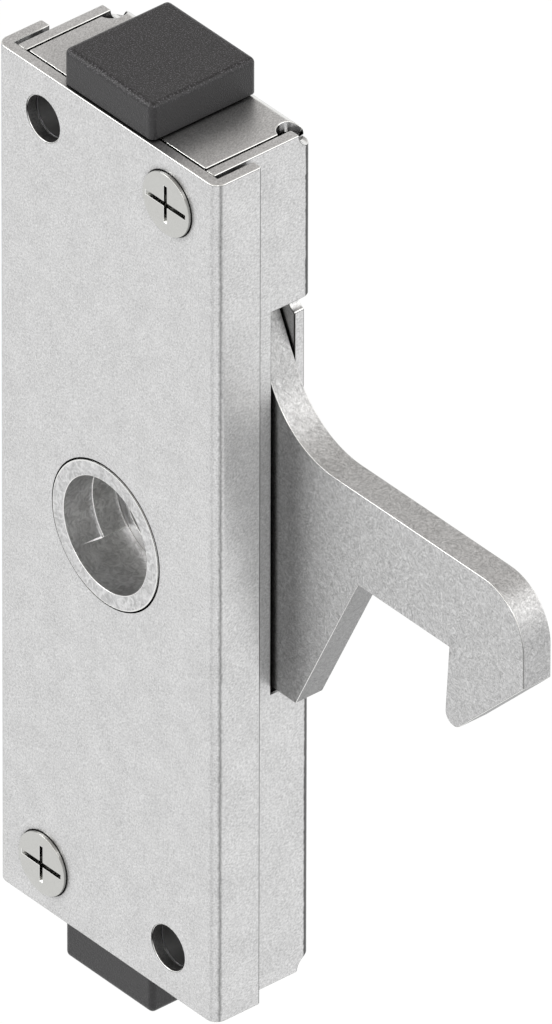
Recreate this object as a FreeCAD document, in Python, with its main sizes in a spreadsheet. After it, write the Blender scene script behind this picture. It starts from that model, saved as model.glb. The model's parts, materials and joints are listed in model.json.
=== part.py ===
import FreeCAD, Part

import math
import os
import re

import Sketcher

# Hook latch, in millimetres. The case is made of two folded sheets, and the hook swings out of a slot
# in its right wall. X runs towards the hook, Y runs back into the case from the front face and Z runs
# up. The origin is the hub's axis on the cover's front face.

SIZES = {
    # Case and cover.
    "cover_width": (52.7, "over both flanges of the cover"),
    "case_height": (157.3, "cover and case alike, end face to end face"),
    "case_depth": (22.0, "front face of the cover to back face of the case"),
    "sheet_thickness": (2.0, "cover, case walls, back plate and end flaps"),
    "cover_flange_depth": (9.2, "front face to the edge of the cover's flanges"),
    "flange_roll": (0.45, "rounding that the shears leave on the flanges' outer edges"),
    "cover_gap": (0.85, "between a cover flange and the case wall inside it"),
    "bend_radius": (2.0, "outside radius of every bend"),
    "flap_side_gap": (0.4, "between an end flap and the case wall beside it"),
    "flap_front_gap": (0.3, "between an end flap and the cover"),
    "relief_radius": (2.5, "round bend reliefs at the corners of the case"),
    "relief_inset": (2.7, "centre of a flap's relief in front of the back face"),
    "relief_offset": (0.1, "centre of a flap's relief outside the wall's inner face"),
    "wall_relief_inset": (0.4, "centre of a wall's relief in front of the back face"),
    # Slot in the right wall.
    "slot_top": (48.05, "upper end of the hook slot above the hub axis"),
    "slot_foot_gap": (0.7, "below the hook's foot"),
    "slot_front_gap": (0.55, "in front of the hook"),
    "slot_plate_cut": (0.1, "slot's cut into the back plate past the wall's inner face"),
    "slot_relief_radius": (2.0, "round reliefs at the slot's ends in the back plate"),
    "slot_relief_offset": (0.4, "centre of these reliefs outside the wall's inner face"),
    # Holes for fixing and closing the case.
    "fixing_wall_distance": (6.5, "fixing holes and cover screws from the case walls' inner faces"),
    "fixing_end_distance": (8.65, "fixing holes and cover screws from the case's end faces"),
    "fixing_hole_radius": (3.9, "through cover and back plate"),
    "sleeve_bore_radius": (3.8, "mounting sleeves, for the fixing screws"),
    "tube_radius": (6.0, "outside of sleeves, threaded spacers and front spacers"),
    "neck_radius": (5.2, "of sleeves and threaded spacers inside the front spacers"),
    "rivet_radius": (3.5, "riveted end of a threaded spacer in the back plate"),
    # Cover screws.
    "screw_head_radius": (5.5, "countersunk head"),
    "screw_head_rise": (0.65, "head above the cover"),
    "screw_rim_chamfer": (0.25, "on the rim of the head"),
    "screw_thread_radius": (3.0, "M6 thread"),
    "screw_length": (14.0, "front face of the cover to the tip"),
    "thread_hole_depth": (15.5, "front face of the cover to the hole's end"),
    "screw_slot_length": (9.5, "long slot of the cross recess"),
    "screw_slot_width": (0.85, "long slot of the cross recess"),
    "screw_cross_length": (6.8, "short slot of the cross recess"),
    "screw_cross_width": (0.75, "short slot of the cross recess"),
    "screw_slot_depth": (1.1, "both slots"),
    # Hub, disc and axle.
    "hub_bore_radius": (10.0, "bore that takes the drive"),
    "hub_radius": (12.75, "ring seen in the cover"),
    "hub_gap": (0.25, "round the ring in the cover"),
    "hub_rise": (0.2, "ring in front of the cover"),
    "hub_edge": (0.15, "edge break round the ring"),
    "dog_front": (5.3, "front of the drive dog behind the cover's front face"),
    "dog_length": (4.7, "drive dog along the bore"),
    "dog_angle": (223.3, "step of the drive dog round the hub axis"),
    "dog_step": (0.72, "height of the drive dog's step above the bore"),
    "dog_radius": (10.4, "inner face of the drive dog, off centre so that it runs out in the bore"),
    "disc_radius": (17.0, "drive disc, which turns in the guide plate"),
    "disc_thickness": (3.5, "drive disc"),
    "stud_head_radius": (8.0, "head of the pivot stud, flush in the disc"),
    "stud_head_thickness": (1.2, "head of the pivot stud"),
    "stud_radius": (6.0, "pivot stud in disc and hook"),
    "journal_radius": (5.5, "rear end of the pivot stud"),
    "journal_gap": (0.1, "end of the journal in front of the back face"),
    "bush_radius": (8.0, "outside of the rear bush"),
    "hub_screw_circle": (11.4, "radius of the circle of hub screws"),
    "hub_screw_radius": (1.0, "M2 thread"),
    "hub_screw_head_radius": (1.9, "cheese head"),
    "hub_screw_head_height": (1.2, "cheese head, flush in the disc"),
    "hub_screw_length": (8.5, "back of the disc to the tip"),
    "drive_pin_circle": (12.5, "radius of the circle of drive pins"),
    "drive_pin_radius": (2.0, "dowels between disc and hook"),
    "drive_pin_cover": (0.6, "disc's face to the front end and hook's face to the rear end"),
    # Hook plate.
    "hook_thickness": (5.5, "hook plate"),
    "hook_back_gap": (0.3, "between hook and back plate"),
    "hook_boss_radius": (17.5, "round the axle"),
    "heel_x": (-8.7, "lower left end of the hook's body"),
    "heel_z": (-14.8, "lower left end of the hook's body"),
    "foot_start": (4.0, "left end of the foot's flat bottom"),
    "foot_reach": (28.7, "right end of the foot's flat bottom"),
    "foot_drop": (22.7, "flat bottom below the hub axis"),
    "throat_start": (43.5, "where the sloping edge meets the arm"),
    "throat_top": (7.45, "under side of the arm"),
    "claw_start": (65.2, "inner edge of the claw at the arm"),
    "claw_tip_reach": (64.06, "inner and lower edges of the claw meet here before rounding"),
    "claw_tip_radius": (2.0, "point of the claw"),
    "hook_reach": (82.85, "outer end of the hook"),
    "lead_in_top": (8.85, "upper end of the 45 degree lead-in edge"),
    "arm_top": (24.6, "upper side of the arm"),
    "arm_corner_radius": (9.5, "upper outer corner of the arm"),
    "root_x": (27.25, "where arm and crest edges meet before rounding"),
    "root_radius": (16.7, "hollow between arm and crest"),
    "crest_x": (15.15, "right corner of the crest before rounding"),
    "crest_top": (50.0, "top of the crest inside the case"),
    "crest_width": (4.8, "between the crest's corners before rounding"),
    "crest_radius": (3.7, "both corners of the crest"),
    "back_x": (-12.0, "lower end of the crest's left edge"),
    "back_z": (10.0, "lower end of the crest's left edge"),
    # Guide plate, crank pin and return spring.
    "guide_thickness": (2.0, "guide plate"),
    "guide_gap": (0.6, "between guide plate and hook"),
    "guide_edge_gap": (0.3, "between guide plate and case walls"),
    "guide_end_gap": (0.45, "between guide plate and end flaps"),
    "guide_notch_width": (12.0, "notches over the end block screws"),
    "guide_notch_depth": (5.0, "notches over the end block screws"),
    "crank_radius": (43.0, "crank pin from the hub axis"),
    "crank_angle": (17.5, "crank pin beside the upright, half of the hook's swing"),
    "crank_pin_radius": (2.5, "crank pin"),
    "crank_pin_front": (2.6, "front end behind the front face"),
    "window_end_gap": (0.3, "between crank pin and window end at either limit"),
    "window_side_gap": (0.7, "above and below the crank pin's path"),
    "window_corner_radius": (1.5, "corners of the window"),
    "post_drop": (10.0, "spring post below the upper fixing holes"),
    "post_radius": (4.0, "spring post"),
    "post_front": (2.4, "front end of the spring post behind the front face"),
    "post_rivet_radius": (2.5, "riveted end of the spring post"),
    "coil_radius": (5.0, "return spring, to the middle of the wire"),
    "coil_turns": (3, "turns that the spring has room for"),
    "turn_gap": (0.15, "between neighbouring turns"),
    "spring_front_gap": (0.5, "between spring and clip"),
    "spring_back_gap": (0.9, "between spring and guide plate"),
    "leg_overrun": (2.0, "spring leg past what it bears on"),
    "leg_gap": (0.05, "between a spring leg and what it bears on"),
    "clip_thickness": (0.6, "spring clips"),
    "clip_width": (1.6, "spring clips, outside the groove"),
    "clip_inset": (0.7, "groove behind the front end of its pin"),
    "clip_play": (0.1, "groove wider than its clip"),
    "groove_depth": (0.7, "grooves for the spring clips"),
    "pin_chamfer": (0.3, "front ends of crank pin and spring post"),
    # Stop for the hook at rest.
    "stop_gap": (0.3, "between buffer and foot at rest"),
    "stop_post_radius": (2.5, "stop post"),
    "stop_rivet_radius": (1.75, "both riveted ends of the stop post"),
    "buffer_radius": (4.0, "rubber buffer on the stop post"),
    # End blocks.
    "block_width": (21.2, "end block along X"),
    "block_depth": (21.0, "end block along Y"),
    "block_height": (6.45, "end block above its foot"),
    "block_front": (0.45, "front face of the block behind the cover's front face"),
    "block_rounding": (1.0, "corners and top edges of the block"),
    "block_foot_height": (0.3, "foot that lifts the block off the case"),
    "block_foot_inset": (1.5, "foot inside the block's sides"),
    "block_screw_radius": (2.0, "M4 thread"),
    "block_screw_length": (6.5, "screw past its washer"),
    "block_screw_head_radius": (3.5, "pan head"),
    "block_screw_head_height": (2.2, "pan head"),
    "washer_radius": (4.5, "washer under the block screw's head"),
    "washer_thickness": (0.8, "washer under the block screw's head"),
    # Clearances that several pairs share.
    "running_clearance": (0.1, "disc in guide plate, on the radius"),
    "journal_clearance": (0.05, "journal in rear bush, on the radius"),
    "seat_clearance": (0.02, "pressed or riveted seats, on the radius"),
    "loose_clearance": (0.1, "tubes over necks and washers over screws, on the radius"),
    "thread_clearance": (0.05, "screw threads, on the radius"),
    "hole_clearance": (0.3, "round a screw in its hole and past its tip"),
}

doc = FreeCAD.newDocument("hook_latch")
sheet = doc.addObject("Spreadsheet::Sheet", "Sizes")
for row, (alias, (size, meaning)) in enumerate(SIZES.items(), 1):
    sheet.set(f"A{row}", str(size))
    sheet.setAlias(f"A{row}", alias)
    sheet.set(f"B{row}", meaning)
doc.recompute()

# Places along Y, each a formula in the sizes above.
BACK_PLATE = "(case_depth - sheet_thickness)"
HOOK_BACK = "(case_depth - sheet_thickness - hook_back_gap)"
HOOK_FRONT = f"({HOOK_BACK} - hook_thickness)"
DISC_FRONT = f"({HOOK_FRONT} - disc_thickness)"
GUIDE_BACK = f"({HOOK_FRONT} - guide_gap)"
GUIDE_FRONT = f"({GUIDE_BACK} - guide_thickness)"
BLOCK_MIDDLE = "(block_front + block_depth / 2)"
# The spring fills the room between its clip and the guide plate, which sets its wire.
CLIP_BACK = "(post_front + clip_inset + clip_play / 2 + clip_thickness)"
SPRING_ROOM = f"({GUIDE_FRONT} - spring_back_gap - {CLIP_BACK} - spring_front_gap)"
WIRE_RADIUS = f"(({SPRING_ROOM} - coil_turns * turn_gap) / (2 * coil_turns + 2))"
# Places along X and Z.
CASE_HALF = "(cover_width / 2 - sheet_thickness - cover_gap)"
CASE_INSIDE = f"({CASE_HALF} - sheet_thickness)"
FLAP_HALF = f"({CASE_INSIDE} - flap_side_gap)"
END = "(case_height / 2)"
FLAP_INSIDE = f"({END} - sheet_thickness)"
SLOT_BOTTOM = "(-foot_drop - slot_foot_gap)"
CRANK_X = "(crank_radius * sin(crank_angle))"
CRANK_Z = "(crank_radius * cos(crank_angle))"
STOP_Z = "(-foot_drop - stop_gap - buffer_radius)"
# The drive dog's inner face is centred on the side of the hub axis that is opposite its step.
DOG_OFFSET = "(dog_radius - hub_bore_radius + dog_step)"
DOG_CENTRE_ANGLE = "(dog_angle - 180)"
DOG_COSINE = f"(hub_bore_radius^2 + {DOG_OFFSET}^2 - dog_radius^2) / (2 * hub_bore_radius * {DOG_OFFSET})"
DOG_RUNOUT = f"({DOG_CENTRE_ANGLE} * 1 deg + acos({DOG_COSINE}))"
HUB_SCREW_PLACES = [
    (f"hub_screw_circle * cos({angle})", f"hub_screw_circle * sin({angle})")
    for angle in (0, 120, 240)
]
DRIVE_PIN_PLACES = [("0", "drive_pin_circle"), ("0", "-drive_pin_circle")]

# Each pair of a fixing hole or cover screw stands on one diagonal of the case.
RIGHT = f"({CASE_INSIDE} - fixing_wall_distance)"
UPPER = f"({END} - fixing_end_distance)"
LEFT, LOWER = f"-{RIGHT}", f"-{UPPER}"
POST_HEIGHT = f"({UPPER} - post_drop)"

# Directions of edges.
X, Y, Z = range(3)

subparts = []


def expression(text):
    """The formula with each size's name turned into a reference to its cell."""
    def reference(match):
        word = match.group(0)
        return f"Sizes.{word}" if word in SIZES else word
    return re.sub(r"[a-z_]+", reference, str(text))


def value(text):
    """What a formula comes to."""
    result = sheet.evalExpression(expression(text))
    return float(getattr(result, "Value", result))


def new_body(name, x="0", z="0"):
    body = doc.addObject("PartDesign::Body", name)
    body.Label = name
    body.setExpression("Placement.Base.x", expression(x))
    body.setExpression("Placement.Base.z", expression(z))
    return body


def finish(piece):
    """Keeps a finished piece for the list of files."""
    subparts.append(piece)
    return piece


def new_sketch(body, plane, place="0"):
    """A sketch on one of the body's own planes, moved to place along X, Y or Z."""
    sketch = body.newObject("Sketcher::SketchObject", body.Name + "_sketch")
    planes = [feature for feature in body.Origin.OriginFeatures if feature.Role == plane]
    sketch.AttachmentSupport = (planes[0], "")
    sketch.MapMode = "FlatFace"
    sign = "-" if plane == "XZ_Plane" else ""
    sketch.setExpression("AttachmentOffset.Base.z", expression(f"{sign}({place})"))
    return sketch


def pin_point(sketch, geometry, position, across, up):
    """Binds a point of the sketch to two formulas."""
    for kind, text in (("DistanceX", across), ("DistanceY", up)):
        constraint = Sketcher.Constraint(kind, -1, 1, geometry, position, value(text))
        index = sketch.addConstraint(constraint)
        sketch.setExpression(f"Constraints[{index}]", expression(text))


def bind_radius(sketch, geometry, radius):
    index = sketch.addConstraint(Sketcher.Constraint("Radius", geometry, value(radius)))
    sketch.setExpression(f"Constraints[{index}]", expression(radius))


def add_outline(sketch, points):
    """A closed outline of straight lines through pairs of formulas."""
    first = sketch.GeometryCount
    places = [FreeCAD.Vector(value(across), value(up), 0) for across, up in points]
    for start, end in zip(places, places[1:] + places[:1]):
        sketch.addGeometry(Part.LineSegment(start, end), False)
    for number, (across, up) in enumerate(points):
        before = first + (number - 1) % len(points)
        sketch.addConstraint(Sketcher.Constraint("Coincident", before, 2, first + number, 1))
        pin_point(sketch, first + number, 1, across, up)


def add_rectangle(sketch, low_x, low_y, high_x, high_y):
    add_outline(sketch, [(low_x, low_y), (high_x, low_y), (high_x, high_y), (low_x, high_y)])


def add_circle(sketch, across, up, radius):
    centre = FreeCAD.Vector(value(across), value(up), 0)
    circle = Part.Circle(centre, FreeCAD.Vector(0, 0, 1), value(radius))
    geometry = sketch.addGeometry(circle, False)
    pin_point(sketch, geometry, 3, across, up)
    bind_radius(sketch, geometry, radius)


def add_arc(sketch, centre, radius, start, end):
    """An arc that runs counterclockwise from the start point to the end point."""
    middle = FreeCAD.Vector(value(centre[0]), value(centre[1]), 0)
    angles = []
    for across, up in (start, end):
        angles.append(math.atan2(value(up) - middle.y, value(across) - middle.x))
    circle = Part.Circle(middle, FreeCAD.Vector(0, 0, 1), value(radius))
    geometry = sketch.addGeometry(Part.ArcOfCircle(circle, *angles), False)
    bind_radius(sketch, geometry, radius)
    return geometry


def close_arc(sketch, arc, start, end, between=()):
    """Straight lines from the arc's end point, by the places between, back to its start point."""
    places = [end, *between, start]
    points = [FreeCAD.Vector(value(across), value(up), 0) for across, up in places]
    before, position = arc, 2
    for first, last in zip(points, points[1:]):
        line = sketch.addGeometry(Part.LineSegment(first, last), False)
        sketch.addConstraint(Sketcher.Constraint("Coincident", before, position, line, 1))
        before, position = line, 2
    sketch.addConstraint(Sketcher.Constraint("Coincident", before, 2, arc, 1))
    for number, (across, up) in enumerate(places):
        if number < len(places) - 1:
            pin_point(sketch, arc + 1 + number, 1, across, up)
    pin_point(sketch, arc, 1, *start)


def extrude(body, kind, sketch, plane, length, forward=True):
    """A Pad or Pocket of the sketch, forward meaning towards +X, +Y or +Z."""
    doc.recompute()
    before = body.Shape.Volume if body.Shape.Solids else 0.0
    feature = body.newObject("PartDesign::" + kind, body.Name + "_" + kind.lower())
    feature.Profile = sketch
    feature.setExpression("Length", expression(length))
    normal_is_forward = plane != "XZ_Plane"
    if kind == "Pad":
        feature.Reversed = normal_is_forward != forward
    else:
        feature.Reversed = normal_is_forward == forward
    doc.recompute()
    changed = body.Shape.Volume - before
    if (changed <= 0) == (kind == "Pad"):
        raise RuntimeError(f"{body.Label}: the {kind.lower()} changed {changed:.3f} mm3")
    return feature


def turn(body, profile):
    """A body of revolution about Y from pairs of radius and depth."""
    sketch = new_sketch(body, "XY_Plane")
    add_outline(sketch, profile)
    feature = body.newObject("PartDesign::Revolution", body.Name + "_turned")
    feature.Profile = sketch
    feature.ReferenceAxis = (sketch, ["V_Axis"])
    feature.Angle = 360
    doc.recompute()


def turned_piece(name, profile, x="0", z="0"):
    body = new_body(name, x, z)
    turn(body, profile)
    return finish(body)


def tube_piece(name, inner, outer, front, back, x="0", z="0"):
    profile = [(inner, front), (outer, front), (outer, back), (inner, back)]
    return turned_piece(name, profile, x, z)


def drill(body, front, depth, holes):
    """Round holes along Y: each is a place across, a place up and a radius."""
    sketch = new_sketch(body, "XZ_Plane", front)
    for across, up, radius in holes:
        add_circle(sketch, across, up, radius)
    extrude(body, "Pocket", sketch, "XZ_Plane", depth)


def dress_edges(body, kind, size, direction, places):
    """A Fillet or Chamfer on the straight edges that run along an axis through the places."""
    across = [axis for axis in range(3) if axis != direction]
    wanted = [tuple(value(text) for text in place) for place in places]
    base = body.Tip
    names = []
    for number, edge in enumerate(base.Shape.Edges, 1):
        if edge.Curve.TypeId != "Part::GeomLine":
            continue
        way = edge.tangentAt(edge.FirstParameter)
        if abs(abs(way[direction]) - 1) > 1e-6:
            continue
        middle = edge.CenterOfMass
        here = [middle[axis] for axis in across]
        if any(math.dist(here, place) < 1e-3 for place in wanted):
            names.append(f"Edge{number}")
    if len(names) < len(wanted):
        raise RuntimeError(f"{body.Label}: {len(names)} edges of {len(wanted)} to dress")
    feature = body.newObject("PartDesign::" + kind, body.Name + "_" + kind.lower())
    feature.Base = (base, names)
    feature.setExpression("Radius" if kind == "Fillet" else "Size", expression(size))
    doc.recompute()


def make_front_cover():
    body = new_body("front_cover")
    half, inside = "cover_width / 2", "cover_width / 2 - sheet_thickness"
    section = new_sketch(body, "XY_Plane", f"-{END}")
    add_outline(section, [
        (f"-({half})", "0"),
        (half, "0"),
        (half, "cover_flange_depth"),
        (inside, "cover_flange_depth"),
        (inside, "sheet_thickness"),
        (f"-({inside})", "sheet_thickness"),
        (f"-({inside})", "cover_flange_depth"),
        (f"-({half})", "cover_flange_depth"),
    ])
    extrude(body, "Pad", section, "XY_Plane", "case_height")
    dress_edges(body, "Fillet", "bend_radius", Z, [(f"-({half})", "0"), (half, "0")])
    rolled = [(f"-({half})", "cover_flange_depth"), (half, "cover_flange_depth")]
    dress_edges(body, "Fillet", "flange_roll", Z, rolled)
    drill(body, "0", "sheet_thickness", [
        ("0", "0", "hub_radius + hub_gap"),
        (LEFT, UPPER, "fixing_hole_radius"),
        (RIGHT, LOWER, "fixing_hole_radius"),
    ])
    # The screw heads are deeper than the sheet, so their 45 degree seats go right through it.
    seats = new_sketch(body, "XZ_Plane")
    for x, z in ((RIGHT, UPPER), (LEFT, LOWER)):
        add_circle(seats, x, z, "screw_head_radius + seat_clearance")
    pocket = extrude(body, "Pocket", seats, "XZ_Plane", "sheet_thickness")
    pocket.TaperAngle = -45
    finish(body)


def make_back_case():
    body = new_body("back_case")
    section = new_sketch(body, "XY_Plane", f"-{END}")
    add_outline(section, [
        (f"-{CASE_HALF}", "sheet_thickness"),
        (f"-{CASE_INSIDE}", "sheet_thickness"),
        (f"-{CASE_INSIDE}", BACK_PLATE),
        (CASE_INSIDE, BACK_PLATE),
        (CASE_INSIDE, "sheet_thickness"),
        (CASE_HALF, "sheet_thickness"),
        (CASE_HALF, "case_depth"),
        (f"-{CASE_HALF}", "case_depth"),
    ])
    extrude(body, "Pad", section, "XY_Plane", "case_height")
    bends = [(f"-{CASE_HALF}", "case_depth"), (CASE_HALF, "case_depth")]
    dress_edges(body, "Fillet", "bend_radius", Z, bends)
    relieve_walls(body)
    add_flaps(body)
    cut_hook_slot(body)
    drill(body, BACK_PLATE, "sheet_thickness", [
        ("0", "0", "bush_radius + seat_clearance"),
        (LEFT, UPPER, "fixing_hole_radius"),
        (RIGHT, LOWER, "fixing_hole_radius"),
        (RIGHT, UPPER, "rivet_radius + seat_clearance"),
        (LEFT, LOWER, "rivet_radius + seat_clearance"),
        (RIGHT, STOP_Z, "stop_rivet_radius + seat_clearance"),
    ])
    finish(body)


def relieve_walls(body):
    """Round notches in both walls where they meet the end flaps' bends."""
    for start, towards_x in ((f"-{CASE_HALF}", True), (CASE_HALF, False)):
        notches = new_sketch(body, "YZ_Plane", start)
        for z in (f"-{END}", END):
            add_circle(notches, "case_depth - wall_relief_inset", z, "relief_radius")
        depth = "sheet_thickness + flap_side_gap"
        extrude(body, "Pocket", notches, "YZ_Plane", depth, forward=towards_x)


def add_flaps(body):
    """The end flaps, folded forward from the back plate between the walls."""
    for low in (f"-{END}", FLAP_INSIDE):
        flap = new_sketch(body, "XY_Plane", low)
        front = "sheet_thickness + flap_front_gap"
        add_rectangle(flap, f"-{FLAP_HALF}", front, FLAP_HALF, "case_depth")
        extrude(body, "Pad", flap, "XY_Plane", "sheet_thickness")
    ends = [("case_depth", f"-{END}"), ("case_depth", END)]
    dress_edges(body, "Fillet", "bend_radius", X, ends)
    for low in (f"-{END}", FLAP_INSIDE):
        cuts = new_sketch(body, "XY_Plane", low)
        add_circle(cuts, "0", BLOCK_MIDDLE, "block_screw_radius + hole_clearance")
        for side in (-1, 1):
            add_flap_relief(cuts, side)
        extrude(body, "Pocket", cuts, "XY_Plane", "sheet_thickness", forward=True)


def add_flap_relief(sketch, side):
    """The part of a round relief that lies between the walls."""
    wall = f"{side} * {CASE_INSIDE}"
    middle = "case_depth - relief_inset"
    reach = "sqrt(relief_radius^2 - relief_offset^2)"
    front, back = (wall, f"{middle} - {reach}"), (wall, f"{middle} + {reach}")
    start, end = (back, front) if side > 0 else (front, back)
    centre = (f"{side} * ({CASE_INSIDE} + relief_offset)", middle)
    arc = add_arc(sketch, centre, "relief_radius", start, end)
    close_arc(sketch, arc, start, end)


def cut_hook_slot(body):
    """The hook's slot, through the right wall and the bend behind it."""
    front = f"({HOOK_FRONT} - slot_front_gap)"
    inner = f"({CASE_INSIDE} - slot_plate_cut)"
    slot = new_sketch(body, "XZ_Plane", front)
    add_rectangle(slot, inner, SLOT_BOTTOM, f"{CASE_HALF} + sheet_thickness", "slot_top")
    extrude(body, "Pocket", slot, "XZ_Plane", f"case_depth - {front}")
    middle = f"{CASE_INSIDE} + slot_relief_offset"
    drill(body, BACK_PLATE, "sheet_thickness", [
        (middle, "slot_top - slot_relief_radius", "slot_relief_radius"),
        (middle, f"{SLOT_BOTTOM} + slot_relief_radius", "slot_relief_radius"),
    ])


def make_guide_plate():
    body = new_body("guide_plate")
    half = f"({CASE_INSIDE} - guide_edge_gap)"
    top = f"({FLAP_INSIDE} - guide_end_gap)"
    shoulder = f"({top} - guide_notch_depth)"
    notch = "guide_notch_width / 2"
    outline = new_sketch(body, "XZ_Plane", GUIDE_FRONT)
    right = [
        (notch, f"-{shoulder}"),
        (notch, f"-{top}"),
        (half, f"-{top}"),
        (half, top),
        (notch, top),
        (notch, shoulder),
    ]
    left = [(f"-{x}", z) for x, z in reversed(right)]
    add_outline(outline, right + left)
    extrude(body, "Pad", outline, "XZ_Plane", "guide_thickness")
    holes = [
        ("0", "0", "disc_radius + running_clearance"),
        ("0", POST_HEIGHT, "post_rivet_radius + seat_clearance"),
        (RIGHT, STOP_Z, "stop_rivet_radius + seat_clearance"),
    ]
    for x in (LEFT, RIGHT):
        for z in (LOWER, UPPER):
            holes.append((x, z, "neck_radius + loose_clearance"))
    drill(body, GUIDE_FRONT, "guide_thickness", holes)
    # The crank pin stops against the ends of this window.
    end = f"({CRANK_X} + crank_pin_radius + window_end_gap)"
    low = f"({CRANK_Z} - crank_pin_radius - window_side_gap)"
    high = "(crank_radius + crank_pin_radius + window_side_gap)"
    window = new_sketch(body, "XZ_Plane", GUIDE_FRONT)
    add_rectangle(window, f"-{end}", low, end, high)
    extrude(body, "Pocket", window, "XZ_Plane", "guide_thickness")
    corners = [(f"-{end}", low), (end, low), (end, high), (f"-{end}", high)]
    dress_edges(body, "Fillet", "window_corner_radius", Y, corners)
    finish(body)


def make_sleeves_and_spacers():
    for name, x, z in (("upper", LEFT, UPPER), ("lower", RIGHT, LOWER)):
        turned_piece(f"mounting_sleeve_{name}", [
            ("sleeve_bore_radius", "sheet_thickness"),
            ("neck_radius", "sheet_thickness"),
            ("neck_radius", GUIDE_BACK),
            ("tube_radius", GUIDE_BACK),
            ("tube_radius", BACK_PLATE),
            ("sleeve_bore_radius", BACK_PLATE),
        ], x, z)
    hole = "(screw_thread_radius + thread_clearance)"
    # The screw's cone reaches past the cover, so the thread starts with a chamfer.
    mouth = f"max(screw_head_radius + seat_clearance - sheet_thickness; {hole} + hub_edge)"
    for name, x, z in (("upper", RIGHT, UPPER), ("lower", LEFT, LOWER)):
        turned_piece(f"threaded_spacer_{name}", [
            ("0", "thread_hole_depth"),
            (hole, "thread_hole_depth"),
            (hole, f"sheet_thickness + {mouth} - {hole}"),
            (mouth, "sheet_thickness"),
            ("neck_radius", "sheet_thickness"),
            ("neck_radius", GUIDE_BACK),
            ("tube_radius", GUIDE_BACK),
            ("tube_radius", BACK_PLATE),
            ("rivet_radius", BACK_PLATE),
            ("rivet_radius", "case_depth"),
            ("0", "case_depth"),
        ], x, z)
    for side, x in (("left", LEFT), ("right", RIGHT)):
        for end, z in (("upper", UPPER), ("lower", LOWER)):
            tube_piece(f"front_spacer_{end}_{side}", "neck_radius + loose_clearance",
                       "tube_radius", "sheet_thickness", GUIDE_FRONT, x, z)


def make_cover_screws():
    for name, x, z in (("upper", RIGHT, UPPER), ("lower", LEFT, LOWER)):
        body = new_body(f"cover_screw_{name}", x, z)
        turn(body, [
            ("0", "-screw_head_rise"),
            ("screw_head_radius - screw_rim_chamfer", "-screw_head_rise"),
            ("screw_head_radius", "screw_rim_chamfer - screw_head_rise"),
            ("screw_head_radius", "0"),
            ("screw_thread_radius", "screw_head_radius - screw_thread_radius"),
            ("screw_thread_radius", "screw_length - screw_thread_radius / 4"),
            ("screw_thread_radius * 3 / 4", "screw_length"),
            ("0", "screw_length"),
        ])
        for long_way, wide_way in (
            ("screw_slot_length / 2", "screw_slot_width / 2"),
            ("screw_cross_width / 2", "screw_cross_length / 2"),
        ):
            slot = new_sketch(body, "XZ_Plane", "-screw_head_rise")
            add_rectangle(slot, f"-{long_way}", f"-{wide_way}", long_way, wide_way)
            extrude(body, "Pocket", slot, "XZ_Plane", "screw_slot_depth")
        finish(body)


def make_drive_hub():
    body = new_body("drive_hub")
    turn(body, [
        ("hub_bore_radius", "-hub_rise"),
        ("hub_radius - hub_edge", "-hub_rise"),
        ("hub_radius", "hub_edge - hub_rise"),
        ("hub_radius", DISC_FRONT),
        ("hub_bore_radius", DISC_FRONT),
    ])
    add_drive_dog(body)
    tip = f"({HOOK_FRONT} - hub_screw_length - hole_clearance)"
    holes = [(x, z, "hub_screw_radius + thread_clearance") for x, z in HUB_SCREW_PLACES]
    drill(body, tip, f"{DISC_FRONT} - {tip}", holes)
    finish(body)


def add_drive_dog(body):
    """A low cam on the bore's wall: the drive's tongue pushes on the step at its lower end."""
    foot = ("hub_bore_radius * cos(dog_angle)", "hub_bore_radius * sin(dog_angle)")
    top = ("(hub_bore_radius - dog_step) * cos(dog_angle)",
           "(hub_bore_radius - dog_step) * sin(dog_angle)")
    runout = (f"hub_bore_radius * cos({DOG_RUNOUT})", f"hub_bore_radius * sin({DOG_RUNOUT})")
    centre = (f"{DOG_OFFSET} * cos({DOG_CENTRE_ANGLE})", f"{DOG_OFFSET} * sin({DOG_CENTRE_ANGLE})")
    dog = new_sketch(body, "XZ_Plane", "dog_front")
    wall = add_arc(dog, ("0", "0"), "hub_bore_radius", runout, foot)
    face = add_arc(dog, centre, "dog_radius", runout, top)
    step = dog.addGeometry(Part.LineSegment(
        FreeCAD.Vector(value(foot[0]), value(foot[1]), 0),
        FreeCAD.Vector(value(top[0]), value(top[1]), 0)), False)
    for first, position, second, other in ((wall, 1, face, 1), (wall, 2, step, 1), (face, 2, step, 2)):
        dog.addConstraint(Sketcher.Constraint("Coincident", first, position, second, other))
    for geometry, position, place in ((wall, 1, runout), (wall, 2, foot), (face, 2, top)):
        pin_point(dog, geometry, position, *place)
    extrude(body, "Pad", dog, "XZ_Plane", "dog_length")


def make_drive_disc():
    body = new_body("drive_disc")
    turn(body, [
        ("stud_head_radius + seat_clearance", DISC_FRONT),
        ("disc_radius", DISC_FRONT),
        ("disc_radius", HOOK_FRONT),
        ("stud_radius + seat_clearance", HOOK_FRONT),
        ("stud_radius + seat_clearance", f"{DISC_FRONT} + stud_head_thickness"),
        ("stud_head_radius + seat_clearance", f"{DISC_FRONT} + stud_head_thickness"),
    ])
    screw = "hub_screw_radius + thread_clearance"
    head = "hub_screw_head_radius + thread_clearance"
    drill(body, DISC_FRONT, "disc_thickness", [(x, z, screw) for x, z in HUB_SCREW_PLACES])
    counterbore = f"{HOOK_FRONT} - hub_screw_head_height"
    drill(body, counterbore, "hub_screw_head_height", [(x, z, head) for x, z in HUB_SCREW_PLACES])
    pin = "drive_pin_radius + seat_clearance"
    drill(body, f"{DISC_FRONT} + drive_pin_cover", "disc_thickness - drive_pin_cover",
          [(x, z, pin) for x, z in DRIVE_PIN_PLACES])
    finish(body)


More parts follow.
